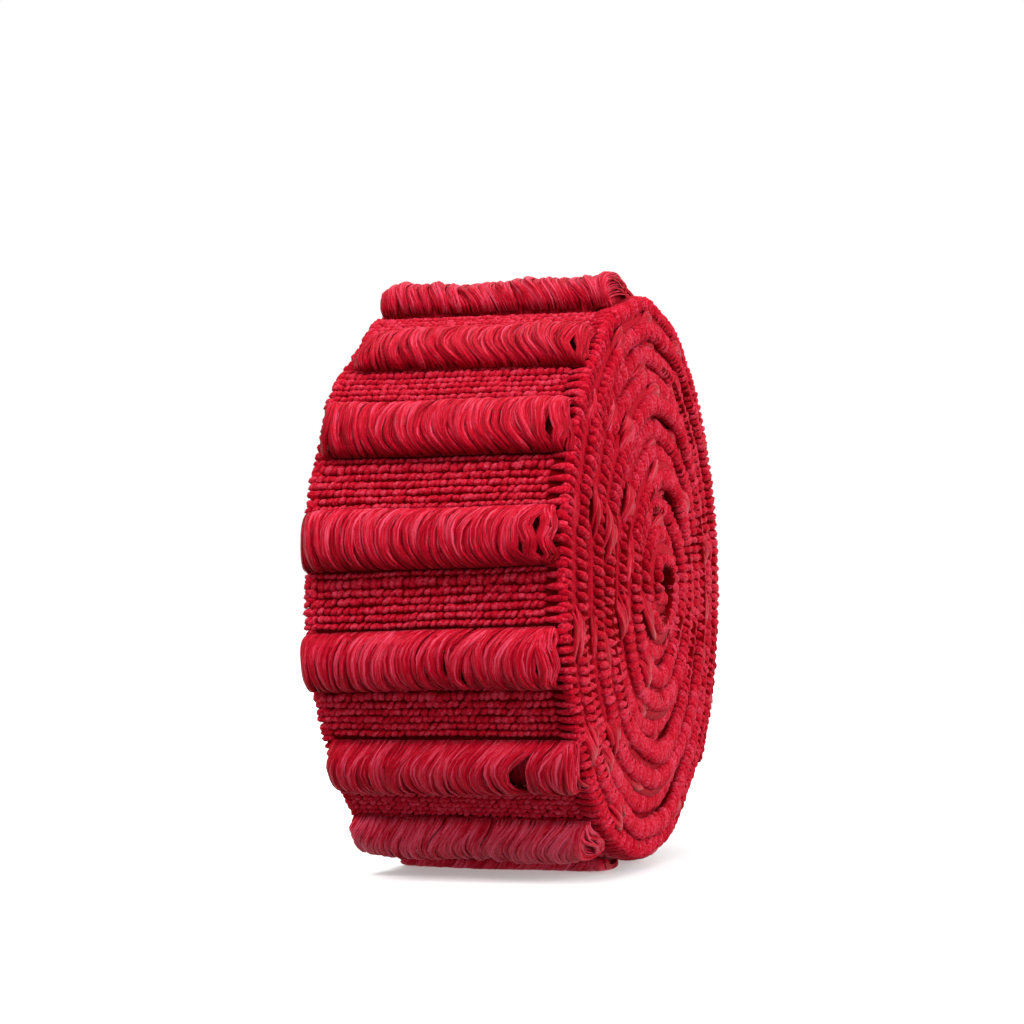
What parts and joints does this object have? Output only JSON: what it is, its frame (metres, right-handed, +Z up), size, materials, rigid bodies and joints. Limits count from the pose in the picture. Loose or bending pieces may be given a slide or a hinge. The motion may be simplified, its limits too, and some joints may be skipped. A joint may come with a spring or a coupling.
{
  "type": "roll of elastic",
  "caption": "Wide ribbed woven elastic with raised float bars across it, wound in a roll that stands on its rim; trimming to cut and sew.",
  "frame": {"origin": "on the floor, under the middle of the roll's outline", "axes": "+Z up, +X along the roll's axis towards the face whose middle stands proud, -Y towards the front of the outer turn"},
  "size_m": [0.0629, 0.1409, 0.1341],
  "materials": {
    "red_yarn": "soft woven and loose yarn with a faint sheen"
  },
  "bodies": {
    "root": {"elastic_roll": "red_yarn"}
  },
  "joints": []
}
